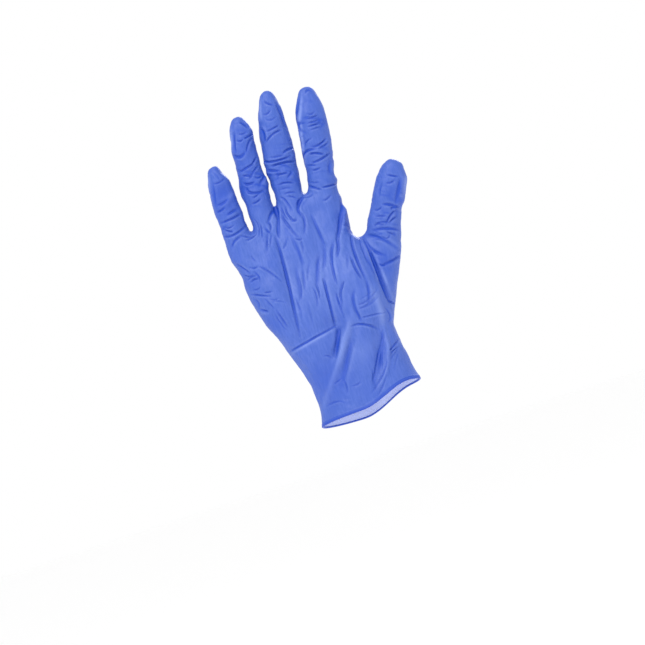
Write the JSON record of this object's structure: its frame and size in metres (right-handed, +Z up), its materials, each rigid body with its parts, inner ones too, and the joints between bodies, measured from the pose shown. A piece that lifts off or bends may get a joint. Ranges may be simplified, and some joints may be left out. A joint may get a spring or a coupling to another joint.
{
  "type": "nitrile exam glove",
  "caption": "Disposable examination glove of thin nitrile film, in the shape it takes on a raised hand, with a rolled bead round the open cuff.",
  "frame": {"origin": "centre of the cuff's opening, where the wrist goes in", "axes": "+Z up the hand to the fingertips, +X across the hand to the thumb, +Y from the palm's side to the back of the hand"},
  "size_m": [0.1426, 0.0443, 0.2504],
  "materials": {
    "nitrile": "satin"
  },
  "bodies": {
    "root": {"glove": "nitrile"}
  },
  "joints": []
}
